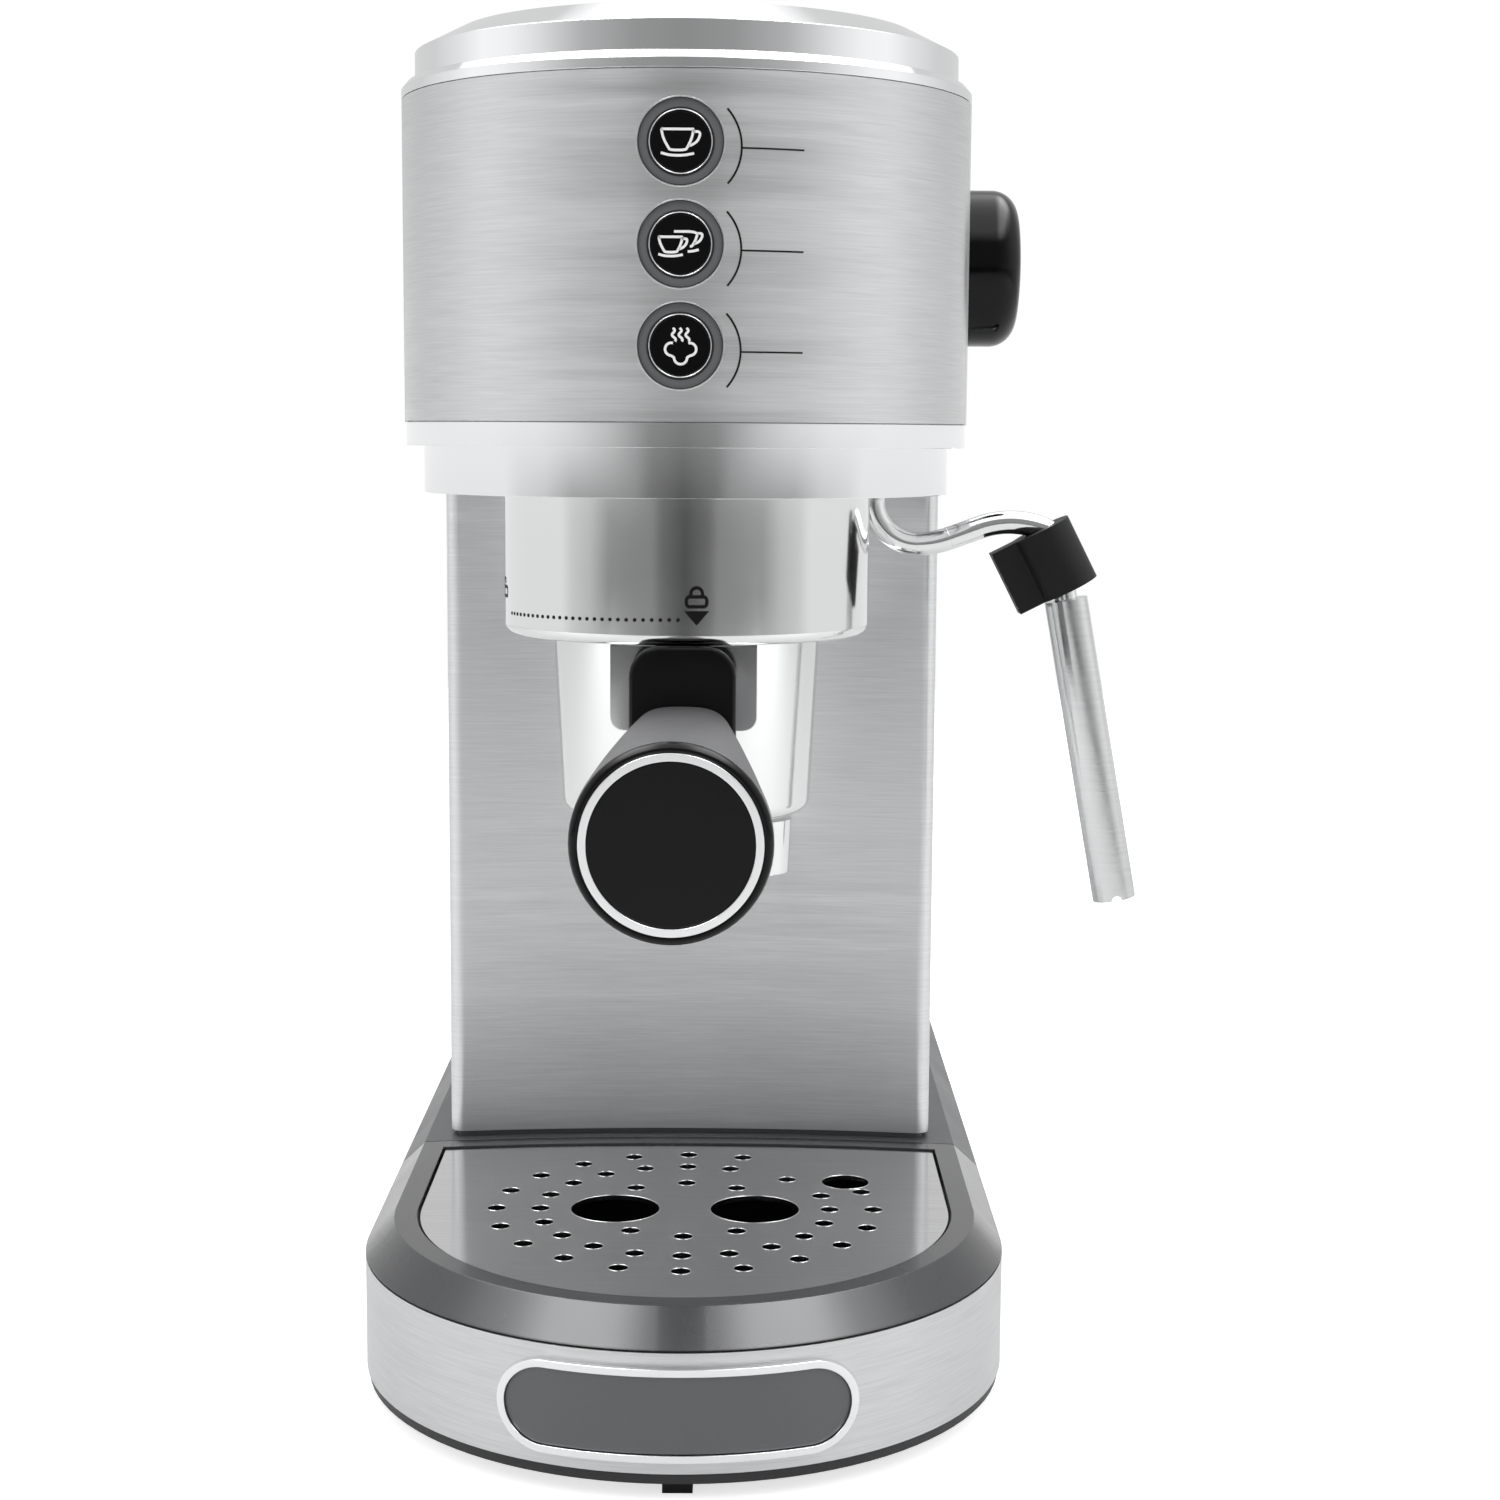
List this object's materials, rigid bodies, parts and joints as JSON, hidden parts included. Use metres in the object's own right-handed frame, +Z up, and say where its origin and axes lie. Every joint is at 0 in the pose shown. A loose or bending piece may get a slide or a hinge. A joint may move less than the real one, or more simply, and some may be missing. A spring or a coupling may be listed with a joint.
{
  "type": "espresso machine",
  "caption": "Slim pump espresso machine with a round-fronted head, a locking portafilter with spouts, a steam wand, a lift-out water tank and a sliding drip tray.",
  "frame": {"origin": "on the table under the axis of the brew group, midway between the spouts", "axes": "+X to the machine's right as seen by the user, +Y to the back, +Z up"},
  "size_m": [0.1828, 0.3914, 0.308],
  "materials": {
    "dark_plastic": "fine moulded texture",
    "grey_plastic": "dark grey lacquer",
    "silver_plastic": "silver paint",
    "handle_plastic": "soft-touch coating",
    "pump_plastic": "unpainted nylon",
    "board_laminate": "solder mask",
    "gloss_black": "high gloss",
    "chromed_plastic": "chrome plated",
    "polished_steel": "polished",
    "brushed_steel": "brushed",
    "sheet_steel": "plain stainless steel",
    "cast_aluminium": "die cast",
    "brass": "machined",
    "rubber": "matte moulded rubber",
    "silicone": "translucent silicone",
    "smoked_tank": "clear smoked plastic"
  },
  "bodies": {
    "machine": {"base_pan": "dark_plastic", "rubber_feet": "rubber", "base_body": "grey_plastic", "column_panel": "brushed_steel", "left_side_cover": "silver_plastic", "right_side_cover": "silver_plastic", "rear_cover": "dark_plastic", "head_shell": "silver_plastic", "head_band": "brushed_steel", "lower_ring": "chromed_plastic", "head_skirt": "chromed_plastic", "top_rim": "chromed_plastic", "cup_warmer_plate": "brushed_steel", "group_cover": "polished_steel", "brew_head": "cast_aluminium", "group_gasket": "rubber", "shower_screen": "sheet_steel", "screen_screw": "sheet_steel", "thermoblock": "cast_aluminium", "thermostat": "dark_plastic", "steam_valve": "brass", "wand_collar": "rubber", "pump": "pump_plastic", "pump_bracket": "sheet_steel", "pump_bushes": "rubber", "suction_hose": "silicone", "pressure_hose": "silicone", "control_board": "board_laminate", "button_switches": "dark_plastic", "button_bezels": "grey_plastic", "tank_socket": "dark_plastic", "cord_gland": "dark_plastic", "switch_frame": "dark_plastic", "housing_screws": "sheet_steel"},
    "tray": {"tray_bin": "dark_plastic", "tray_frame": "grey_plastic", "tray_band": "brushed_steel", "badge_rim": "chromed_plastic", "badge_plaque": "brushed_steel"},
    "plate": {"drip_plate": "brushed_steel"},
    "portafilter": {"portafilter_bowl": "polished_steel", "double_spout": "polished_steel", "filter_basket": "sheet_steel", "basket_clip": "sheet_steel", "handle_neck": "dark_plastic", "handle_grip": "handle_plastic", "cap_ring": "chromed_plastic", "end_cap": "gloss_black", "handle_bolt": "sheet_steel"},
    "single_key": {"single_button": "gloss_black"},
    "double_key": {"double_button": "gloss_black"},
    "steam_key": {"steam_button": "gloss_black"},
    "knob": {"steam_knob": "gloss_black"},
    "wand": {"steam_tube": "polished_steel", "wand_grip": "rubber"},
    "frother": {"frother_sleeve": "brushed_steel"},
    "tank": {"water_tank": "smoked_tank", "tank_valve": "dark_plastic"},
    "lid": {"tank_lid": "dark_plastic"},
    "rocker": {"power_rocker": "gloss_black"}
  },
  "joints": [
    {"name": "tray_slide", "type": "slide", "parent": "machine", "child": "tray", "axis": [0, -1, 0], "range_m": [0, 0.15]},
    {"name": "plate_lift", "type": "slide", "parent": "tray", "child": "plate", "axis": [0, 0, 1], "range_m": [0, 0.05]},
    {"name": "portafilter_turn", "type": "hinge", "parent": "machine", "child": "portafilter", "pos_m": [0, 0, 0.187], "axis": [0, 0, 1], "range_deg": [-72, 0]},
    {"name": "single_press", "type": "slide", "parent": "machine", "child": "single_key", "axis": [0, 1, 0], "range_m": [0, 0.0012], "stiffness_N_per_m": 900},
    {"name": "double_press", "type": "slide", "parent": "machine", "child": "double_key", "axis": [0, 1, 0], "range_m": [0, 0.0012], "stiffness_N_per_m": 900},
    {"name": "steam_press", "type": "slide", "parent": "machine", "child": "steam_key", "axis": [0, 1, 0], "range_m": [0, 0.0012], "stiffness_N_per_m": 900},
    {"name": "knob_turn", "type": "hinge", "parent": "machine", "child": "knob", "pos_m": [0.068, 0.018, 0.261], "axis": [1, 0, 0], "range_deg": [0, 150]},
    {"name": "wand_swing", "type": "hinge", "parent": "machine", "child": "wand", "pos_m": [0.0435, 0.018, 0.21], "axis": [0, 0, 1], "range_deg": [-60, 25]},
    {"name": "frother_slide", "type": "slide", "parent": "wand", "child": "frother", "axis": [0.1805, 0, -0.9836], "range_m": [0, 0.06]},
    {"name": "tank_lift", "type": "slide", "parent": "machine", "child": "tank", "axis": [0, 0, 1], "range_m": [0, 0.06]},
    {"name": "lid_hinge", "type": "hinge", "parent": "tank", "child": "lid", "pos_m": [0, 0.2494, 0.2955], "axis": [-1, 0, 0], "range_deg": [0, 95]},
    {"name": "rocker_tilt", "type": "hinge", "parent": "machine", "child": "rocker", "pos_m": [0.03, 0.2505, 0.01955], "axis": [1, 0, 0], "range_deg": [-18, 0]}
  ]
}
